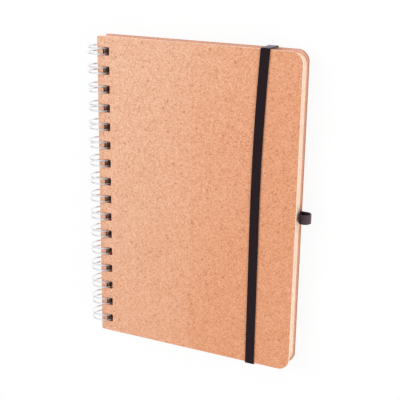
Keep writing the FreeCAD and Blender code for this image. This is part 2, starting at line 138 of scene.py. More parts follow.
# %% [markdown]
# ## Helpers for materials
# A colour is written as it looks on a screen, as six hex digits, and the renderer wants it linear.
# One function turns it, and one function adds a node with its settings and its links.

# %% Colour and node helpers


def srgb(hex_digits):
    """A screen colour as linear RGBA: each channel is divided by 255 and its gamma curve undone."""
    channels = np.array([int(hex_digits[k:k + 2], 16) for k in (0, 2, 4)]) / 255
    linear = np.where(channels <= 0.04045, channels / 12.92, ((channels + 0.055) / 1.055) ** 2.4)
    return (*(float(c) for c in linear), 1.0)


def new_material(name):
    """A node material with its node tree and its principled shader."""
    material = bpy.data.materials.new(name)
    material.use_nodes = True
    tree = material.node_tree
    return material, tree, tree.nodes["Principled BSDF"]


def add(tree, kind, inputs=None, **settings):
    """Adds a node, sets its properties, and gives each input a value or a link from a socket."""
    node = tree.nodes.new(kind)
    for name, value in settings.items():
        setattr(node, name, value)
    for name, value in (inputs or {}).items():
        if isinstance(value, bpy.types.NodeSocket):
            tree.links.new(value, node.inputs[name])
        else:
            node.inputs[name].default_value = value
    return node


def set_ramp(node, stops):
    """Gives a colour ramp its stops, each a place from 0 to 1 and a screen colour."""
    elements = node.color_ramp.elements
    while len(elements) > 1:
        elements.remove(elements[-1])
    elements[0].position = stops[0][0]
    elements[0].color = srgb(stops[0][1])
    for place, colour in stops[1:]:
        elements.new(place).color = srgb(colour)


print("bark brown in linear light", [round(c, 3) for c in srgb("9A5F42")])

# %% [markdown]
# ## Painted shade on the walls of the punched holes
# A punch goes through cork, board and paper, and little light reaches the walls that it leaves.
# Their shade is painted: the material colours them a dark brown. A second mesh could line each hole,
# but the material can tell the walls from the outer edges by itself: they are the upright faces in
# the column of holes.

# %% Painted shade on the hole walls
UPRIGHT_BELOW = 0.6
COLUMN_SPARE = 0.2 * MM
END_SPARE = 4 * MM
# Colours of the painted shade on the hole walls of cork, board and paper.
CORK_HOLE_SHADE = "94504A"
BOARD_HOLE_SHADE = "8A4A46"
PAPER_HOLE_SHADE = "8A4E4A"


def hole_wall(tree, coordinates):
    """1 on the walls of the punched holes and 0 elsewhere: the product of three tests.

    The normal is nearly level, x lies in the column of holes, and y is clear of the sheet's ends.
    """
    place = add(tree, "ShaderNodeSeparateXYZ", {"Vector": coordinates.outputs["Object"]})
    normal = add(tree, "ShaderNodeSeparateXYZ", {"Vector": coordinates.outputs["Normal"]})
    level = add(tree, "ShaderNodeMath", {0: normal.outputs["Z"]}, operation="ABSOLUTE").outputs[0]
    upright = add(tree, "ShaderNodeMath", {0: level, 1: UPRIGHT_BELOW}, operation="LESS_THAN").outputs[0]
    half_column = (hole_far - hole_near) / 2 + COLUMN_SPARE
    column = {0: place.outputs["X"], 1: (hole_near + hole_far) / 2, 2: half_column}
    row = {0: place.outputs["Y"], 1: 0.0, 2: HALF_HEIGHT - END_SPARE}
    in_column = add(tree, "ShaderNodeMath", column, operation="COMPARE").outputs[0]
    in_row = add(tree, "ShaderNodeMath", row, operation="COMPARE").outputs[0]
    inside = add(tree, "ShaderNodeMath", {0: in_column, 1: in_row}, operation="MULTIPLY").outputs[0]
    return add(tree, "ShaderNodeMath", {0: inside, 1: upright}, operation="MULTIPLY").outputs[0]


def paint_hole_shade(tree, coordinates, colour, hole_shade_colour):
    """The colour everywhere but on the walls of the holes, which get painted shade instead."""
    shaded_wall = hole_wall(tree, coordinates)
    choice = {"Factor": shaded_wall, "A": colour, "B": srgb(hole_shade_colour)}
    return add(tree, "ShaderNodeMix", choice, data_type="RGBA").outputs["Result"]


print(f"hole walls are found within {HALF_HEIGHT / MM - END_SPARE / MM:.0f} mm of the cover's middle")

# %% [markdown]
# ## Cork
# The covers wear a sheet of agglomerated cork: ground bark pressed with glue into a block, then
# sliced thin and sanded. Up close it is a mosaic of grains about three quarters of a millimetre
# across, each its own tan. A random colour per Voronoi cell draws the grains better than a noise
# does, because a grain has one tone and an edge. A small noise bends the cells' straight outlines.

# %% Cork grains
GRAIN = 0.72 * MM
DUST = 0.32 * MM
WANDER = 0.9 * MM
WANDER_WIDTH = 0.8 * MM
CORK_TONES = ((0.05, "BF8361"), (0.3, "DFA786"), (0.55, "EAB799"), (0.8, "F1C4A8"), (0.95, "FADAC3"))


def bent_place(tree, place):
    """The place plus a shift: a noise colour less one half, times the wander."""
    noise = add(tree, "ShaderNodeTexNoise", {"Vector": place, "Scale": 1 / WANDER_WIDTH, "Detail": 2.0})
    difference = {0: noise.outputs["Color"], 1: (0.5, 0.5, 0.5)}
    centred = add(tree, "ShaderNodeVectorMath", difference, operation="SUBTRACT").outputs[0]
    shift = add(tree, "ShaderNodeVectorMath", {0: centred, "Scale": WANDER}, operation="SCALE").outputs[0]
    return add(tree, "ShaderNodeVectorMath", {0: place, 1: shift}).outputs[0]


def grain_pattern(tree, bent):
    """The grains' colour and their height.

    The tone is the mean of two random numbers, one per grain and one per grain of dust.
    """
    grains = add(tree, "ShaderNodeTexVoronoi", {"Vector": bent, "Scale": 1 / GRAIN})
    dust = add(tree, "ShaderNodeTexVoronoi", {"Vector": bent, "Scale": 1 / DUST})
    grain_tone = add(tree, "ShaderNodeSeparateColor", {"Color": grains.outputs["Color"]}).outputs["Red"]
    dust_tone = add(tree, "ShaderNodeSeparateColor", {"Color": dust.outputs["Color"]}).outputs["Green"]
    halves = {"Factor": 0.5, "A": grain_tone, "B": dust_tone}
    tone = add(tree, "ShaderNodeMix", halves, data_type="FLOAT").outputs[0]
    tones = add(tree, "ShaderNodeValToRGB", {"Fac": tone})
    set_ramp(tones, CORK_TONES)
    return tones.outputs["Color"], grains.outputs["Distance"]


print("cork grains of", round(GRAIN / MM, 2), "mm with dust of", round(DUST / MM, 2), "mm between them")

# %% [markdown]
# Here and there lies a dark fleck of bark. The middles of large Voronoi cells give a few round
# spots at random places, and their outlines are bent as those of the grains are.

# %% Bark flecks
FLECK = 6.5 * MM
FLECK_CORE = 0.07
FLECK_RIM = 0.16
FLECK_STRENGTH = 0.5
BARK = "9A5F42"


def add_flecks(tree, bent, colour):
    """The colour with a fleck round each cell's middle: full in the core, none beyond the rim."""
    spots = add(tree, "ShaderNodeTexVoronoi", {"Vector": bent, "Scale": 1 / FLECK})
    fall = {
        "Value": spots.outputs["Distance"], "From Min": FLECK_CORE, "From Max": FLECK_RIM,
        "To Min": FLECK_STRENGTH, "To Max": 0.0,
    }
    near = add(tree, "ShaderNodeMapRange", fall).outputs[0]
    layers = {"Factor": near, "A": colour, "B": srgb(BARK)}
    return add(tree, "ShaderNodeMix", layers, data_type="RGBA").outputs["Result"]


print(f"bark flecks up to {2 * FLECK_RIM * FLECK / MM:.1f} mm wide, about {FLECK / MM:.1f} mm apart")

# %% [markdown]
# A sheet of cork isn't even. It is glued from two slices that meet in a faint straight line, and it
# drifts in tone from one part to the next, which a wide noise draws. Ramps from the spine's head to the
# foot and from the spine to the fore-edge add painted shade, the key light's fall-off, pale at the
# head and deeper at the foot of the fore-edge. A tint, multiplied over the grains, follows their sum.

# %% Drift of tone and painted fall-off
DRIFT = 45 * MM
SEAM = 69 * MM
SEAM_WIDTH = 0.4 * MM
# The head-to-foot and side shares are painted shade: the key light's fall-off over the cover.
HEAD_SHADE = -0.18
FOOT_SHADE = 0.22
SIDE_SHADE = 0.85
SEAM_SHARE = 0.1
DRIFT_SHARE = 0.35
TONE_AND_SHADE_TINTS = ((0.1, "FFFFFE"), (0.7, "FBEBDF"), (1.0, "F8DFCC"))


def tone_and_painted_falloff(tree, place):
    """The tint's colour: a ramp over the sum of the painted-shade head-to-foot and side shares and the seam
    and noise shares.
    """
    drift = {"Vector": place, "Scale": 1 / DRIFT, "Detail": 3.0, "Roughness": 0.6}
    noise = add(tree, "ShaderNodeTexNoise", drift).outputs["Fac"]
    spot = add(tree, "ShaderNodeSeparateXYZ", {"Vector": place})
    x = spot.outputs["X"]
    # Painted shade: these ramps paint the light's fall-off from the head and the spine; the noise is the
    # cork's own drift.
    shade_down = {
        "Value": spot.outputs["Y"], "From Min": HALF_HEIGHT, "From Max": -HALF_HEIGHT,
        "To Min": HEAD_SHADE, "To Max": FOOT_SHADE,
    }
    across = {"Value": x, "From Min": SPINE_X, "From Max": SPINE_X + COVER_WIDTH}
    over_seam = {"Value": x, "From Min": SPINE_X + SEAM, "From Max": SPINE_X + SEAM + SEAM_WIDTH}
    tone_and_shade = add(tree, "ShaderNodeMapRange", shade_down).outputs[0]
    side = add(tree, "ShaderNodeMapRange", across).outputs[0]
    step = add(tree, "ShaderNodeMapRange", over_seam).outputs[0]
    for part, share in ((side, SIDE_SHADE), (step, SEAM_SHARE), (noise, DRIFT_SHARE)):
        tone_and_shade = add(tree, "ShaderNodeMath", {0: part, 1: share, 2: tone_and_shade}, operation="MULTIPLY_ADD").outputs[0]
    tone_and_shade_ramp = add(tree, "ShaderNodeValToRGB", {"Fac": tone_and_shade})
    set_ramp(tone_and_shade_ramp, TONE_AND_SHADE_TINTS)
    return tone_and_shade_ramp.outputs["Color"]


print("the two slices of cork meet", round(SEAM / MM), "mm from the spine edge")

# %% [markdown]
# The cork is sanded but not coated, so it is dull. Its grains stand up a little and small pores lie
# between them, which a bump draws without more mesh.

# %% Cork material
PORE = 0.35 * MM
GRAIN_RELIEF = 0.6
CORK_RELIEF = 0.12 * MM


def cork_material():
    """Sanded cork sheet: grains, flecks, a tint with painted fall-off and painted shade on the hole walls for
    colour, grains and pores for relief.
    """
    material, tree, shader = new_material("sanded_cork_sheet")
    coordinates = add(tree, "ShaderNodeTexCoord")
    place = coordinates.outputs["Object"]
    bent = bent_place(tree, place)
    grains, height = grain_pattern(tree, bent)
    layers = {"Factor": 1.0, "A": add_flecks(tree, bent, grains), "B": tone_and_painted_falloff(tree, place)}
    toned_and_shaded = add(tree, "ShaderNodeMix", layers, data_type="RGBA", blend_type="MULTIPLY").outputs["Result"]
    tree.links.new(paint_hole_shade(tree, coordinates, toned_and_shaded, CORK_HOLE_SHADE), shader.inputs["Base Color"])

    pores = add(tree, "ShaderNodeTexNoise", {"Vector": bent, "Scale": 1 / PORE, "Detail": 3.0}).outputs["Fac"]
    both = {0: height, 1: GRAIN_RELIEF, 2: pores}
    relief = add(tree, "ShaderNodeMath", both, operation="MULTIPLY_ADD").outputs[0]
    bump = add(tree, "ShaderNodeBump", {"Height": relief, "Strength": 0.35, "Distance": CORK_RELIEF})
    tree.links.new(bump.outputs["Normal"], shader.inputs["Normal"])
    shader.inputs["Roughness"].default_value = 0.72
    shader.inputs["Specular IOR Level"].default_value = 0.3
    return material


cork = cork_material()
print("made", cork.name)

# %% [markdown]
# ## Cover board
# Under the cork is a pulp board. Its cut edges show as a thin line, cream on the front cover. On
# the back cover, near the floor, the same cut edge is painted darker brown as painted shade. Its inner
# face is lined with kraft paper. The face that a point belongs to is told by its normal, so one
# function makes the material of both boards.

# %% Board material
FIBRE = 0.6 * MM
LINED_ABOVE = 0.8
BOARD_RELIEF = 0.05 * MM
KRAFT_TONES = ((0.35, "D99F88"), (0.65, "F0C3AE"))


def board_material(name, cut_tones):
    """Pulp board: the given tones where it is cut, kraft brown where the normal points up or down, and
    painted shade on the hole walls.
    """
    material, tree, shader = new_material(name)
    place = add(tree, "ShaderNodeTexCoord")
    upness = add(tree, "ShaderNodeSeparateXYZ", {"Vector": place.outputs["Normal"]}).outputs["Z"]
    flat = add(tree, "ShaderNodeMath", {0: upness}, operation="ABSOLUTE").outputs[0]
    lined = add(tree, "ShaderNodeMath", {0: flat, 1: LINED_ABOVE}, operation="GREATER_THAN").outputs[0]
    mottle = {"Vector": place.outputs["Object"], "Scale": 1 / FIBRE, "Detail": 3.0}
    fibres = add(tree, "ShaderNodeTexNoise", mottle).outputs["Fac"]
    kraft = add(tree, "ShaderNodeValToRGB", {"Fac": fibres})
    set_ramp(kraft, KRAFT_TONES)
    pulp = add(tree, "ShaderNodeValToRGB", {"Fac": fibres})
    set_ramp(pulp, ((0.3, cut_tones[0]), (0.7, cut_tones[1])))
    faces = {"Factor": lined, "A": pulp.outputs["Color"], "B": kraft.outputs["Color"]}
    both = add(tree, "ShaderNodeMix", faces, data_type="RGBA").outputs["Result"]
    tree.links.new(paint_hole_shade(tree, place, both, BOARD_HOLE_SHADE), shader.inputs["Base Color"])
    bump = add(tree, "ShaderNodeBump", {"Height": fibres, "Strength": 0.2, "Distance": BOARD_RELIEF})
    tree.links.new(bump.outputs["Normal"], shader.inputs["Normal"])
    shader.inputs["Roughness"].default_value = 0.8
    return material


front_board_look = board_material("pulp_board_with_kraft_lining", ("F6DDC8", "FFEEDE"))
# The back board is the same board; its darker cut tones are painted shade.
back_board_shaded_look = board_material("pulp_board_with_kraft_lining_and_painted_shade", ("94624B", "B58064"))
print("made", front_board_look.name, "and", back_board_shaded_look.name)

# %% [markdown]
# ## Paper
# The pages are uncoated ivory writing paper. It is nearly flat in colour, with a soft mottle of
# fibres, and no shine.

# %% Paper material
MOTTLE = 2.5 * MM
PAPER_GRAIN = 0.2 * MM
PAPER_RELIEF = 0.02 * MM
PAPER_TONES = ((0.3, "FBE0C6"), (0.7, "FFE9D4"))


def paper_material():
    """Uncoated ivory paper with a faint mottle and no shine, and painted shade on the walls of its punched
    holes.
    """
    material, tree, shader = new_material("uncoated_ivory_paper")
    coordinates = add(tree, "ShaderNodeTexCoord")
    place = coordinates.outputs["Object"]
    mottle = add(tree, "ShaderNodeTexNoise", {"Vector": place, "Scale": 1 / MOTTLE, "Detail": 5.0})
    tone = add(tree, "ShaderNodeValToRGB", {"Fac": mottle.outputs["Fac"]})
    set_ramp(tone, PAPER_TONES)
    colour = paint_hole_shade(tree, coordinates, tone.outputs["Color"], PAPER_HOLE_SHADE)
    tree.links.new(colour, shader.inputs["Base Color"])
    fine = add(tree, "ShaderNodeTexNoise", {"Vector": place, "Scale": 1 / PAPER_GRAIN, "Detail": 2.0})
    relief = {"Height": fine.outputs["Fac"], "Strength": 0.15, "Distance": PAPER_RELIEF}
    bump = add(tree, "ShaderNodeBump", relief)
    tree.links.new(bump.outputs["Normal"], shader.inputs["Normal"])
    shader.inputs["Roughness"].default_value = 0.85
    return material


paper = paper_material()
print("made", paper.name)

# %% [markdown]
# ## Binding wire
# The wire is drawn steel with a thin clear-silver coat. It is a metal, bright and a little soft in
# its reflections, and the coat has a faint orange-peel that breaks the highlight. The peel is drawn
# 2 mm wide, coarser than the real one, because a finer one only makes the wire look frosted.

# %% Wire material
PEEL = 2.0 * MM
PEEL_RELIEF = 0.05 * MM
SILVER_TONES = ((0.3, "EFECEF"), (0.7, "FAF8FA"))


def wire_material():
    """Silver-coated steel wire: a metal with a nearly smooth coat."""
    material, tree, shader = new_material("silver_coated_steel_wire")
    place = add(tree, "ShaderNodeTexCoord").outputs["Object"]
    peel = add(tree, "ShaderNodeTexNoise", {"Vector": place, "Scale": 1 / PEEL, "Detail": 2.0}).outputs["Fac"]
    tone = add(tree, "ShaderNodeValToRGB", {"Fac": peel})
    set_ramp(tone, SILVER_TONES)
    tree.links.new(tone.outputs["Color"], shader.inputs["Base Color"])
    bump = add(tree, "ShaderNodeBump", {"Height": peel, "Strength": 0.08, "Distance": PEEL_RELIEF})
    tree.links.new(bump.outputs["Normal"], shader.inputs["Normal"])
    shader.inputs["Metallic"].default_value = 1.0
    shader.inputs["Roughness"].default_value = 0.16
    return material


wire_silver = wire_material()
print("made", wire_silver.name)

# %% [markdown]
# ## Woven elastic
# Both elastics are flat woven tape: rubber cords run along it side by side, and a black thread
# crosses over and under them. The cords are ridges in the mesh. The thread is a fine pattern of
# short stitches, drawn on the tape's own UV map, whose u runs across it and v along it in metres.
# It is drawn half a millimetre wide, a little coarser than most, so that it shows. Its fluff gives
# a soft pale sheen at a low angle. On the pen loop a painted highlight lifts the tone from black to grey
# towards the loop's outer end, which turns to the light.

# %% Elastic material
THREAD = 0.55 * MM
THREAD_RELIEF = 0.06 * MM
# Grey of the painted highlight on the pen loop.
STRAP_HIGHLIGHT_GREY = "5C4C53"


def elastic_material(name, highlight_span=None):
    """Black woven elastic: short cross threads in rows, offset from one cord to the next.

    With a range given, a painted highlight lifts the tone along x from thread black to grey over that range.
    """
    material, tree, shader = new_material(name)
    stitches = {
        "Vector": add(tree, "ShaderNodeUVMap", uv_map="tape").outputs["UV"],
        "Scale": 1 / THREAD, "Brick Width": 1.6, "Row Height": 0.8,
        "Mortar Size": 0.12, "Mortar Smooth": 0.6,
        "Color1": srgb("1C1015"), "Color2": srgb("27161D"), "Mortar": srgb("10080B"),
    }
    weave = add(tree, "ShaderNodeTexBrick", stitches)
    colour = weave.outputs["Color"]
    if highlight_span:
        place = add(tree, "ShaderNodeTexCoord").outputs["Object"]
        x = add(tree, "ShaderNodeSeparateXYZ", {"Vector": place}).outputs["X"]
        over = {"Value": x, "From Min": highlight_span[0], "From Max": highlight_span[1]}
        highlight_share = add(tree, "ShaderNodeMapRange", over).outputs[0]
        paler = {"Factor": highlight_share, "A": colour, "B": srgb(STRAP_HIGHLIGHT_GREY)}
        colour = add(tree, "ShaderNodeMix", paler, data_type="RGBA").outputs["Result"]
    tree.links.new(colour, shader.inputs["Base Color"])
    relief = {"Height": weave.outputs["Fac"], "Strength": 0.4, "Distance": THREAD_RELIEF}
    bump = add(tree, "ShaderNodeBump", relief, invert=True)
    tree.links.new(bump.outputs["Normal"], shader.inputs["Normal"])
    shader.inputs["Roughness"].default_value = 0.7
    shader.inputs["Specular IOR Level"].default_value = 0.2
    shader.inputs["Sheen Weight"].default_value = 1.0
    shader.inputs["Sheen Roughness"].default_value = 0.3
    shader.inputs["Sheen Tint"].default_value = srgb("E6DCF0")
    return material


elastic = elastic_material("black_woven_elastic")
print("made", elastic.name)

# %% [markdown]
# ## Flat sheets with holes
# A cover and a page are the same kind of thing: an outline with round corners, a row of square
# punched holes, and a thickness. A flat curve does this best, because it fills an outline with
# holes by itself and can round the edges over. The outlines come first, as arrays of points.

# %% Outlines
SPINE_CORNER = 1.0 * MM
PUNCH_CORNER = 0.5 * MM
SPINE_STEPS = 4
FORE_STEPS = 16
PUNCH_STEPS = 3


def corner_arc(cx, cy, radius, start, steps):
    """Points of a quarter circle from a start angle in degrees, counter-clockwise."""
    angle = np.radians(np.linspace(start, start + 90, steps + 1))
    return np.column_stack((cx + radius * np.cos(angle), cy + radius * np.sin(angle)))


def sheet_outline(x0, x1, y0, y1, fore_radius, notch=None):
    """A rectangle with a small radius at its two spine corners and a larger one at the fore-edge.

    A notch in the fore-edge is given as its inner x, its low y and its high y.
    """
    a, b = SPINE_CORNER, fore_radius
    cut = np.empty((0, 2))
    if notch:
        inner, low, high = notch
        cut = np.array([(x1, low), (inner, low), (inner, high), (x1, high)])
    return np.vstack((
        corner_arc(x0 + a, y0 + a, a, 180, SPINE_STEPS),
        corner_arc(x1 - b, y0 + b, b, 270, FORE_STEPS),
        cut,
        corner_arc(x1 - b, y1 - b, b, 0, FORE_STEPS),
        corner_arc(x0 + a, y1 - a, a, 90, SPINE_STEPS),
    ))


def square_hole(y):
    """One punched hole at a height y, with small round corners as a punch leaves them."""
    c = PUNCH_CORNER
    left, right = hole_near + c, hole_far - c
    low, high = y - HOLE_TALL / 2 + c, y + HOLE_TALL / 2 - c
    corners = ((left, low, 180), (right, low, 270), (right, high, 0), (left, high, 90))
    return np.vstack([corner_arc(cx, cy, c, start, PUNCH_STEPS) for cx, cy, start in corners])


punched = [square_hole(y) for y in hole_y]
print(len(punched), "holes of", len(punched[0]), "points each")

# %% [markdown]
# A curve of straight pieces fills the outlines, gets its thickness, and has its edges rounded over
# by a small bevel. It is then turned into a mesh, because a piece keeps its place in its mesh.

# %% Sheet mesh
EDGE_STEPS = 2


def sheet_mesh(name, outlines, z0, z1, edge):
    """A flat sheet from z0 to z1 whose outlines are rounded over by a small edge radius."""
    curve = bpy.data.curves.new(name, "CURVE")
    curve.dimensions = "2D"
    curve.fill_mode = "BOTH"
    curve.extrude = (z1 - z0) / 2 - edge
    curve.bevel_depth = edge
    curve.bevel_resolution = EDGE_STEPS if edge > 0 else 0
    curve.offset = -edge
    for points in outlines:
        spline = curve.splines.new("POLY")
        spline.points.add(len(points) - 1)
        flat = np.column_stack((points, np.zeros(len(points)), np.ones(len(points))))
        spline.points.foreach_set("co", flat.ravel())
        spline.use_cyclic_u = True
    holder = bpy.data.objects.new(name, curve)
    bpy.context.scene.collection.objects.link(holder)
    bpy.context.view_layer.update()
    mesh = bpy.data.meshes.new_from_object(holder)
    bpy.data.objects.remove(holder)
    mesh.name = name
    mesh.transform(Matrix.Translation((0, 0, (z0 + z1) / 2)))
    return mesh


print("edges are rounded with a bevel resolution of", EDGE_STEPS)

# %% [markdown]
# Every piece is put into the scene in the same way. It rides on a body of the frame, stands for
# the solids that it covers, and takes a material slot.

# %% Helpers for pieces
CREASE_DEGREES = 35


def new_piece(name, mesh, material, body, nodes):
    """Puts a finished mesh into the scene as a piece that rides on a body and stands for CAD nodes."""
    piece = bpy.data.objects.new(name, mesh)
    bpy.context.scene.collection.objects.link(piece)
    mesh.materials.clear()
    mesh.materials.append(material)
    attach(piece, body)
    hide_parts(*nodes)
    print(name, len(mesh.polygons), "faces")
    return piece


def soften(piece):
    """Smooth shading that stays crisp over sharp edges and flat over flat faces."""
    piece.data.shade_smooth()
    piece.data.set_sharp_from_angle(angle=math.radians(CREASE_DEGREES))
    weighted = piece.modifiers.new("even_normals", "WEIGHTED_NORMAL")
    weighted.keep_sharp = True


print("edges sharper than", CREASE_DEGREES, "degrees stay crisp")

# %% [markdown]
# ## Covers
# Each cover is two layers, cork outside and board inside, with the same outline. The back board has
# a notch in its fore-edge, where the tails of the pen loop are glued in, and the back cover has two
# slits, which the ends of the elastic pass through.

# %% Outlines of the covers
CORNER = 7.5 * MM
TAIL_CLEAR = 0.1 * MM
TAPE = 0.9 * MM
SLIT_CLEAR = 0.15 * MM

loop_low, loop_high = low_high("pen_loop")
top_low, top_high = low_high("elastic_end_top")
bottom_low, bottom_high = low_high("elastic_end_bottom")
cover_sides = (SPINE_X, SPINE_X + COVER_WIDTH, -HALF_HEIGHT, HALF_HEIGHT)
recess = (loop_low[0] - TAIL_CLEAR, loop_low[1] - TAIL_CLEAR, loop_high[1] + TAIL_CLEAR)
outline = sheet_outline(*cover_sides, CORNER)
notched_outline = sheet_outline(*cover_sides, CORNER, recess)


def slit(low_x, high_x, inner_y):
    """The slit that one end of the elastic passes through, a little larger than the tape."""
    outer_y = inner_y + math.copysign(TAPE, inner_y)
    y0, y1 = sorted((inner_y, outer_y))
    c = SLIT_CLEAR
    return np.array([(low_x - c, y0 - c), (high_x + c, y0 - c), (high_x + c, y1 + c), (low_x - c, y1 + c)])


slits = [
    slit(top_low[0], top_high[0], top_low[1]),
    slit(bottom_low[0], bottom_high[0], bottom_high[1]),
]
print("slits", [round(abs(part[:, 1]).min() / MM, 1) for part in slits], "mm from the middle")

# %% [markdown]
# The cork's edges are sanded round a little, and the board is cut nearly square.

# %% The four sheets
EDGE_SANDED = 0.2 * MM
EDGE_CUT = 0.06 * MM
front_cuts = [outline, *punched]
back_cuts = [*punched, *slits]
sheets = (
    ("front_cork_sheet", front_cuts, cover_low[2], FRONT_Z, EDGE_SANDED,
     cork, "front_cover", "front_cover_cork", "cork"),
    ("front_board_sheet", front_cuts, front_inner, cover_low[2], EDGE_CUT,
     front_board_look, "front_cover", "front_cover_board", "cover_board"),
    ("back_cork_sheet", [outline, *back_cuts], BACK_Z, back_high[2], EDGE_SANDED,
     cork, "back_cover", "back_cover_cork", "cork"),
    ("back_board_sheet", [notched_outline, *back_cuts], back_high[2], back_inner, EDGE_CUT,
     back_board_shaded_look, "back_cover", "back_cover_board", "cover_board"),
)
for name, outlines, z0, z1, edge, look, body, node, slot_name in sheets:
    piece = new_piece(name, sheet_mesh(name, outlines, z0, z1, edge), look, body, [node])
    soften(piece)

# %% [markdown]
# ## Pages
# The block is some ninety loose sheets. Each real sheet lies a hair out of line with the next, and
# that is what draws the fine lines on a page edge. The wire also lets the upper sheets slide a
# little towards the spine, so that they stand back under the front cover. One sheet is made once,
# and its points are repeated up the block with a small seeded shift, all as one array.

# %% Pages
SHEETS = 88
SHEET_SHARE = 0.92
STRAY = 0.06 * MM
STRAY_SEED = 7
SLIDE = 0.5 * MM
SLIDE_POWER = 4
PAGE_CORNER = 7.0 * MM


def page_shifts(pitch):
    """How far each sheet lies from the first: up by its number times the pitch, and a random stray.

    The slide is nothing up to the block's middle and then rises with the fourth power of height.
    """
    rng = np.random.default_rng(STRAY_SEED)
    shift = rng.normal(0, STRAY, (SHEETS, 3))
    shift[:, 2] = np.arange(SHEETS) * pitch
    above_middle = np.linspace(-1, 1, SHEETS).clip(0, 1)
    shift[:, 0] -= SLIDE * above_middle ** SLIDE_POWER
    return shift


def mesh_arrays(mesh):
    """A mesh as three arrays: its points, the point of each face corner, and each face's corner count."""
    points = np.empty(len(mesh.vertices) * 3)
    mesh.vertices.foreach_get("co", points)
    corners = np.empty(len(mesh.loops), dtype=int)
    mesh.loops.foreach_get("vertex_index", corners)
    counts = np.empty(len(mesh.polygons), dtype=int)
    mesh.polygons.foreach_get("loop_total", counts)
    return points.reshape(-1, 3), corners, counts


def page_sheets():
    """One mesh of many thin sheets: the first sheet's points plus the shift of each sheet.

    The faces are the first sheet's, with k times its number of points added for sheet k.
    """
    page_outline = sheet_outline(page_low[0], page_high[0], page_low[1], page_high[1], PAGE_CORNER)
    pitch = (page_high[2] - page_low[2]) / SHEETS
    top = page_low[2] + SHEET_SHARE * pitch
    one = sheet_mesh("one_page", [page_outline, *punched], page_low[2], top, 0)
    points, corners, counts = mesh_arrays(one)
    stacked = (points[None] + page_shifts(pitch)[:, None]).reshape(-1, 3)
    stacked[:, 0] = np.minimum(stacked[:, 0], page_high[0])
    every_corner = corners + np.arange(SHEETS)[:, None] * len(points)
    ends = np.cumsum(np.tile(counts, SHEETS))[:-1]
    mesh = bpy.data.meshes.new("page_sheets")
    mesh.from_pydata(stacked, [], np.split(every_corner.ravel(), ends))
    return mesh


new_piece("page_sheets", page_sheets(), paper, "pages", ["page_block"])

# %% [markdown]
# ## A tube or a tape along a path
# The wire and both elastics are one section carried along a path. At each point of the path the
# section stands square to it, on two directions that are known there: one outwards and one sideways.

# %% Sweep


def unit(vectors):
    """Each row divided by its own length."""
    return vectors / np.linalg.norm(vectors, axis=1, keepdims=True)


def tangents(path):
    """The direction of the path at each point: from the point before to the point after, made unit."""
    return unit(np.gradient(path, axis=0))


def run_lengths(path):
    """The distance along the path from its start to each point."""
    return np.concatenate(([0], np.cumsum(np.linalg.norm(np.diff(path, axis=0), axis=1))))


def swept_mesh(name, path, outward, sideways, section, across=None):
    """A grid surface: row i, column j is path[i] + outward[i] * section[j, 0] + sideways[i] * section[j, 1].

    The section goes once round, so the first column follows the last. Both ends are capped. Where
    the place across the tape is given, it is the UV map's u, and the length along the path is v.
    """
    rows, columns = len(path), len(section)
    points = path[:, None] + outward[:, None] * section[None, :, :1]
    points += sideways[:, None] * section[None, :, 1:]
    i, j = np.meshgrid(np.arange(rows - 1), np.arange(columns), indexing="ij")
    k = (j + 1) % columns
    quads = np.stack((i * columns + j, (i + 1) * columns + j, (i + 1) * columns + k, i * columns + k), -1)
    caps = [tuple(range(columns)), tuple(range((rows - 1) * columns, rows * columns))[::-1]]
    mesh = bpy.data.meshes.new(name)
    mesh.from_pydata(points.reshape(-1, 3), [], quads.reshape(-1, 4).tolist() + caps)
    if across is not None:
        along = run_lengths(path)
        u = np.stack((across[j], across[j], across[k], across[k]), -1)
        v = np.stack((along[i], along[i + 1], along[i + 1], along[i]), -1)
        grid_uv = np.stack((u, v), -1).reshape(-1, 2)
        cap_uv = np.zeros((2 * columns, 2))
        layer = mesh.uv_layers.new(name="tape")
        layer.data.foreach_set("uv", np.vstack((grid_uv, cap_uv)).ravel())
    return mesh


# %% [markdown]
# ## Path of the binding wire
# The real binding is one wire, first bent flat into a comb of long double fingers, then closed into
# rings by a press. The path says the same: along the spine, a small bend, round a ring, over the
# finger's tip, back round the ring, and on to the next. Its straight runs and tips lie behind the
# book, where a binder hides them. The outward direction always points away from the rings' centre.

# %% Path of the wire
ROOT = 1.2 * MM
LINK_FREE = 0.5 * MM
TIP_FREE = 0.5 * MM
ROOT_STEPS = 6
TIP_STEPS = 13
RING_STEPS = 60
stub = HOLE_PITCH / 2 - PRONG - ROOT
ring = ring_outer - WIRE_RADIUS
link_depth = half_thick + LINK_FREE + WIRE_RADIUS
root_angle = math.atan2(ROOT, ring) - math.asin(link_depth / math.hypot(ring, ROOT))
tip_angle = root_angle + 2 * math.pi - (ROOT + PRONG + 2 * WIRE_RADIUS + TIP_FREE) / ring


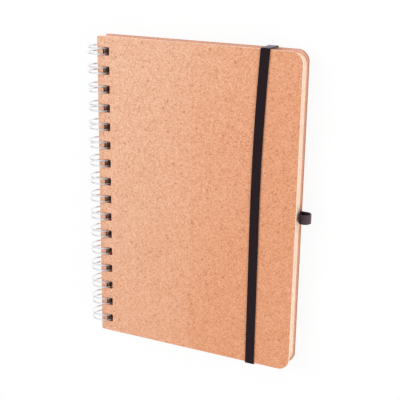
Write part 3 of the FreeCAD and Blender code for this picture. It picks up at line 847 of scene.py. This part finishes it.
def wire_path():
    """The points of the whole wire and the outward direction at each of them.

    A point is centre + outward * ring radius + along-ring * s + (0, y, 0), where s and y trace
    quarter circles at the roots and a half circle at the tip.
    """
    quarter = np.linspace(0, math.pi / 2, ROOT_STEPS)
    half = np.linspace(0, math.pi, TIP_STEPS)
    climb = np.linspace(root_angle, tip_angle, RING_STEPS)[1:-1]
    root = np.full(ROOT_STEPS, root_angle)
    angle = np.concatenate((root, climb, np.full(TIP_STEPS, tip_angle), climb[::-1], root))
    zero = np.zeros(len(climb))
    s = np.concatenate((-ROOT * np.cos(quarter), zero, PRONG * np.sin(half), zero, -ROOT * np.sin(quarter)))
    y = np.concatenate((
        -PRONG - ROOT + ROOT * np.sin(quarter), zero - PRONG, -PRONG * np.cos(half), zero + PRONG,
        PRONG + ROOT - ROOT * np.cos(quarter),
    ))
    outward = np.column_stack((np.cos(angle), np.zeros_like(angle), np.sin(angle)))
    forward = np.column_stack((-np.sin(angle), np.zeros_like(angle), np.cos(angle)))
    centre = np.array((ring_x, 0, ring_z))
    loop = centre + outward * ring + forward * s[:, None]
    loop[:, 1] += y
    path = np.concatenate([loop + (0, offset, 0) for offset in hole_y])
    path = np.vstack((path[0] - (0, stub, 0), path, path[-1] + (0, stub, 0)))
    directions = np.tile(outward, (HOLE_COUNT, 1))
    return path, np.vstack((directions[0], directions, directions[-1]))


path, outward = wire_path()
print(f"wire {run_lengths(path)[-1]:.2f} m long")

# %% [markdown]
# A round section of twelve sides, smoothly shaded, looks round at this size.

# %% Binding wire
WIRE_SIDES = 12
sideways = unit(np.cross(tangents(path), outward))
around = np.linspace(0, 2 * math.pi, WIRE_SIDES, endpoint=False)
wire_section = WIRE_RADIUS * np.column_stack((np.cos(around), np.sin(around)))
wire_mesh = swept_mesh("binding_wire_round", path, outward, sideways, wire_section)
binding = new_piece("binding_wire_round", wire_mesh, wire_silver, "back_cover", ["binding_wire"])
binding.data.shade_smooth()

# %% [markdown]
# ## Section of a tape
# A woven elastic is a flat tape with a ridge over each of its rubber cords. The ridges are in the
# mesh, so that they show at the tape's outline too.

# %% Tape section
CORD_STEPS = 6
EDGE_POWER = 24


def tape_section(width, thickness, cords, rib):
    """Once round a flat tape, and each point's place across it: a ridge over each cord, on both faces.

    The height is half the thickness less the rib, plus the rib times the absolute sine across the
    cords, all times the root of one less a high power of the place, which rounds the two edges.
    """
    across = np.linspace(-0.5, 0.5, cords * CORD_STEPS + 1)
    edge = np.sqrt(np.clip(1 - (np.abs(across) * 2) ** EDGE_POWER, 0, 1))
    ridges = np.abs(np.sin(across * math.pi * cords + math.pi * cords / 2))
    height = (thickness / 2 - rib + rib * ridges) * edge
    upper = np.column_stack((height, across * width))
    lower = np.column_stack((-height[-2:0:-1], across[-2:0:-1] * width))
    return np.vstack((upper, lower)), np.concatenate((across * width, across[-2:0:-1] * width))


def tape_mesh(name, path, section, across, side):
    """A tape along a path: sideways is the given side made square to the path, outward is square to both."""
    tangent = tangents(path)
    sideways = np.tile(side, (len(path), 1))
    sideways -= tangent * (sideways * tangent).sum(1, keepdims=True)
    sideways = unit(sideways)
    outward = np.cross(sideways, tangent)
    return swept_mesh(name, path, outward, sideways, section, across)


BAND_CORDS = 7
BAND_RIB = 0.07 * MM
BAND_WIDTH = top_high[0] - top_low[0]
band_section, band_across = tape_section(BAND_WIDTH, TAPE, BAND_CORDS, BAND_RIB)
print(f"elastic {BAND_WIDTH / MM:.1f} mm wide with {BAND_CORDS} cords")

# %% [markdown]
# ## Elastic closure
# A woven tape runs down the front, turns round the top and bottom edges of both covers, and goes
# back through two slits. It lies where a hand left it, a little aside near the top. Its front run
# and its turns are one piece. Its two ends stay behind.

# %% Path of the elastic
LIE = 0.1 * MM
TURN = 0.25 * MM
JOIN = 1.5 * MM
LEAN = 110 * MM
BEHIND_STEPS = 3
TURN_STEPS = 9
SIDE_STEPS = 8
FRONT_STEPS = 60
band_mid_low = (bottom_low[0] + bottom_high[0]) / 2
band_mid_top = (top_low[0] + top_high[0]) / 2
band_flat_z = BACK_Z - LIE - TAPE / 2
band_end = HALF_HEIGHT - JOIN
aside = band_mid_top - band_mid_low
lean_radius = (LEAN ** 2 + aside ** 2) / (2 * aside)


def band_x(y):
    """Middle of the tape: straight below the bend, and an arc of a large circle above it."""
    rise = np.clip(y - (HALF_HEIGHT - LEAN), 0, LEAN)
    return band_mid_low + lean_radius - np.sqrt(lean_radius ** 2 - rise ** 2)


def band_outline():
    """Middle line of the tape in the YZ plane, from behind the bottom round the front to behind the top.

    One end is a straight run, a quarter circle, the side of the book and a second quarter circle.
    The other end is its mirror image in y, taken backwards.
    """
    top = FRONT_Z + LIE + TAPE / 2
    r = TURN + TAPE / 2
    reach = HALF_HEIGHT + LIE + TAPE / 2
    bend = reach - r
    quarter = np.linspace(0, math.pi / 2, TURN_STEPS)
    behind = -np.linspace(band_end, bend, BEHIND_STEPS)[:-1]
    side = np.linspace(band_flat_z + r, top - r, SIDE_STEPS)[1:-1]
    front = np.linspace(-bend, bend, FRONT_STEPS)[1:-1]
    low_end = np.vstack((
        np.column_stack((behind, np.full(len(behind), band_flat_z))),
        np.column_stack((-bend - r * np.sin(quarter), band_flat_z + r - r * np.cos(quarter))),
        np.column_stack((np.full(len(side), -reach), side)),
        np.column_stack((-bend - r * np.cos(quarter), top - r + r * np.sin(quarter))),
    ))
    front_run = np.column_stack((front, np.full(len(front), top)))
    return np.vstack((low_end, front_run, low_end[::-1] * (-1, 1)))


band_yz = band_outline()
band_path = np.column_stack((band_x(band_yz[:, 0]), band_yz))
print(f"front run {run_lengths(band_path)[-1] / MM:.0f} mm long, {aside / MM:.1f} mm aside at the top")

# %% [markdown]
# The front run can't follow both covers. It rides on the back one, which holds its ends.

# %% Front run of the elastic
BAND_SIDE = (1.0, 0.0, 0.0)
band_mesh = tape_mesh("elastic_front_run", band_path, band_section, band_across, BAND_SIDE)
band = new_piece("elastic_front_run", band_mesh, elastic, "back_cover", ["elastic_band"])
band.data.shade_smooth()
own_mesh(band)

# %% [markdown]
# The ends lie flat behind the back cover and turn up into their slits, where they are glued.

# %% Ends of the elastic
FACE_STEPS = 5
SLIT_TURN_STEPS = 7
SLIT_STEPS = 4


def end_path(side, middle_x):
    """From the join behind the cover's edge, along its outer face, and up through the slit."""
    r = TAPE / 2
    slit_y = abs(top_low[1]) + r
    quarter = np.linspace(0, math.pi / 2, SLIT_TURN_STEPS)
    inward = np.linspace(band_end, slit_y + r, FACE_STEPS)[:-1]
    upward = np.linspace(band_flat_z + r, back_inner - LIE, SLIT_STEPS)[1:]
    y = np.concatenate((inward, slit_y + r - r * np.sin(quarter), np.full(len(upward), slit_y)))
    z = np.concatenate((np.full(len(inward), band_flat_z), band_flat_z + r - r * np.cos(quarter), upward))
    return np.column_stack((np.full(len(y), middle_x), side * y, z))


for name, node, side, middle in (
    ("elastic_end_upper", "elastic_end_top", 1, band_mid_top),
    ("elastic_end_lower", "elastic_end_bottom", -1, band_mid_low),
):
    mesh = tape_mesh(name, end_path(side, middle), band_section, band_across, BAND_SIDE)
    piece = new_piece(name, mesh, elastic, "back_cover", [node])
    piece.data.shade_smooth()

# %% [markdown]
# ## Pen loop
# A narrower tape is bent round into a tube at the fore-edge. Its two tails lie on each other in a
# recess of the back board. The path runs in along the lower tail, round the tube, and back out
# along the upper tail, with the sharp meeting smoothed as cloth would.

# %% Path of the pen loop
STRAP = 0.65 * MM
LOOP_BORE_RADIUS = 3.5 * MM
LOOP_R = LOOP_BORE_RADIUS + STRAP / 2
TAIL_STEPS = 14
ROUND_STEPS = 70
ROUND_DEGREES = (-88, 222)
BACK_FROM = 0.95
SMOOTH_BEFORE = 12
SMOOTH_AFTER = 6
SMOOTH_ROUNDS = 6
loop_x = loop_high[0] - STRAP / 2 - LOOP_R
loop_z = loop_low[2] + STRAP / 2 + LOOP_R
loop_y = (loop_low[1] + loop_high[1]) / 2


def loop_path():
    """The strap's middle line in the XZ plane: straight, most of a circle, straight.

    The points on both sides of the upper meeting are then moved, a few times over, to the mean of
    themselves and their two neighbours.
    """
    angle = np.radians(np.linspace(*ROUND_DEGREES, ROUND_STEPS))
    lower = np.linspace(loop_low[0], loop_x, TAIL_STEPS)
    upper = np.linspace(loop_x - BACK_FROM * LOOP_R, loop_low[0], TAIL_STEPS)
    lower_z = np.full(TAIL_STEPS, loop_z - LOOP_R)
    x = np.concatenate((lower, loop_x + LOOP_R * np.cos(angle), upper))
    z = np.concatenate((lower_z, loop_z + LOOP_R * np.sin(angle), lower_z + STRAP))
    points = np.column_stack((x, np.full(len(x), loop_y), z))
    meeting = TAIL_STEPS + ROUND_STEPS
    a, b = meeting - SMOOTH_BEFORE, meeting + SMOOTH_AFTER
    for _ in range(SMOOTH_ROUNDS):
        points[a:b] = (points[a - 1:b - 1] + points[a:b] + points[a + 1:b + 1]) / 3
    return points


strap_path = loop_path()
print(f"pen loop {run_lengths(strap_path)[-1] / MM:.0f} mm long")

# %% [markdown]
# The strap is swept along that path. A painted highlight lifts its tone from the tails outwards,
# from the black of the thread to grey at the outer end of the loop, which turns to the light.

# %% Pen strap
STRAP_CORDS = 6
STRAP_RIB = 0.06 * MM
STRAP_SIDE = (0.0, 1.0, 0.0)
STRAP_WIDTH = loop_high[1] - loop_low[1]
# Where the painted highlight on the pen loop starts and ends, in loop radii from its middle.
HIGHLIGHT_FROM = -0.8
HIGHLIGHT_TO = 1.2
strap_section, strap_across = tape_section(STRAP_WIDTH, STRAP, STRAP_CORDS, STRAP_RIB)
strap_mesh = tape_mesh("pen_strap", strap_path, strap_section, strap_across, STRAP_SIDE)
strap_highlight_span = (loop_x + HIGHLIGHT_FROM * LOOP_R, loop_x + HIGHLIGHT_TO * LOOP_R)
strap_look = elastic_material("black_woven_elastic_with_painted_highlight", strap_highlight_span)
strap = new_piece("pen_strap", strap_mesh, strap_look, "back_cover", ["pen_loop"])
strap.data.shade_smooth()

# %% [markdown]
# ## Floor
# The photograph has a pure white ground. The floor is a pale matt sheet. Seen straight by the
# camera it is mixed with white light, so that it stays white and keeps only a soft shadow, and the
# metal reflects it as white too.

# %% Floor
FLOOR_HALF = 3.0
SELF_LIT = 0.9


def floor_material():
    """White card: matt, and mostly self-lit for the camera and for mirrors, so that the ground is white."""
    material, tree, shader = new_material("white_paper_ground")
    shader.inputs["Base Color"].default_value = srgb("FAFAFA")
    shader.inputs["Roughness"].default_value = 0.9
    shader.inputs["Specular IOR Level"].default_value = 0.0
    glow = add(tree, "ShaderNodeEmission", {"Color": (1, 1, 1, 1), "Strength": 1.0})
    ray = add(tree, "ShaderNodeLightPath")
    either = {0: ray.outputs["Is Camera Ray"], 1: ray.outputs["Is Glossy Ray"]}
    seen = add(tree, "ShaderNodeMath", either, operation="MAXIMUM").outputs[0]
    share = add(tree, "ShaderNodeMath", {0: seen, 1: SELF_LIT}, operation="MULTIPLY").outputs[0]
    mix = add(tree, "ShaderNodeMixShader", {0: share, 1: shader.outputs[0], 2: glow.outputs[0]})
    tree.links.new(mix.outputs[0], tree.nodes["Material Output"].inputs["Surface"])
    return material


floor_mesh = bpy.data.meshes.new("floor")
s = FLOOR_HALF
floor_mesh.from_pydata([(-s, -s, 0), (s, -s, 0), (s, s, 0), (-s, s, 0)], [], [(0, 1, 2, 3)])
floor = bpy.data.objects.new("floor", floor_mesh)
bpy.context.scene.collection.objects.link(floor)
floor_mesh.materials.append(floor_material())
print("floor", 2 * FLOOR_HALF, "m wide")

# %% [markdown]
# ## World
# The world gives the even light of a studio tent. Where the camera sees it, it is white. Where the
# wire mirrors it, it is white overhead and darker near the ground and to the right, as the open
# side of a tent is. Without that fall-off a silver wire on a white ground can't be told from it.

# %% World
WORLD_LIGHT = 0.6
MIRROR_RIGHT = 0.32
MIRROR_LOW = 0.42
MIRROR_HEIGHTS = (0.1, 0.55)
MIRROR_SIDES = (-0.2, 0.8)

world = bpy.data.worlds.new("studio")
bpy.context.scene.world = world
world.use_nodes = True
tree = world.node_tree
ray = add(tree, "ShaderNodeLightPath")
way = add(tree, "ShaderNodeTexCoord").outputs["Generated"]
direction = add(tree, "ShaderNodeSeparateXYZ", {"Vector": way})
by_height = {
    "Value": direction.outputs["Z"], "From Min": MIRROR_HEIGHTS[0], "From Max": MIRROR_HEIGHTS[1],
    "To Min": MIRROR_LOW, "To Max": 1.0,
}
high = add(tree, "ShaderNodeMapRange", by_height).outputs[0]
by_side = {
    "Value": direction.outputs["X"], "From Min": MIRROR_SIDES[0], "From Max": MIRROR_SIDES[1],
    "To Min": high, "To Max": MIRROR_RIGHT,
}
mirror = add(tree, "ShaderNodeMapRange", by_side).outputs[0]
by_gloss = {"Value": ray.outputs["Is Glossy Ray"], "To Min": WORLD_LIGHT, "To Max": mirror}
unseen = add(tree, "ShaderNodeMapRange", by_gloss).outputs[0]
by_camera = {"Value": ray.outputs["Is Camera Ray"], "To Min": unseen, "To Max": 1.0}
strength = add(tree, "ShaderNodeMapRange", by_camera).outputs[0]
background = tree.nodes["Background"]
background.inputs["Color"].default_value = (1, 1, 1, 1)
tree.links.new(strength, background.inputs["Strength"])
print("world light", WORLD_LIGHT)

# %% [markdown]
# ## Lamps
# Three large soft lamps stand round the book: the key at the upper left, which with the painted shade in
# the cork gives the covers their slow fall-off, one at the right for the page edges, and one behind the
# top edge. Mirrors don't show them, because a lamp's square in a wire looks like a spot.

# %% Lamps and view
LAMP_SIZE = 0.9


def area_lamp(name, at, power):
    """A square soft lamp that looks at the notebook's middle."""
    data = bpy.data.lights.new(name, "AREA")
    data.size = LAMP_SIZE
    data.energy = power
    lamp = bpy.data.objects.new(name, data)
    lamp.visible_glossy = False
    bpy.context.scene.collection.objects.link(lamp)
    facing = Vector(at).normalized().to_track_quat("Z", "Y").to_matrix().to_4x4()
    lamp.matrix_world = Matrix.Translation(at) @ facing
    print(name, "lamp of", power, "W")


area_lamp("key", (-0.8, 0.4, 1.1), 8.2)
area_lamp("side", (1.3, -0.35, 0.7), 8.5)
area_lamp("back", (0.1, 1.4, 0.4), 3.2)
bpy.context.scene.view_settings.view_transform = "Standard"
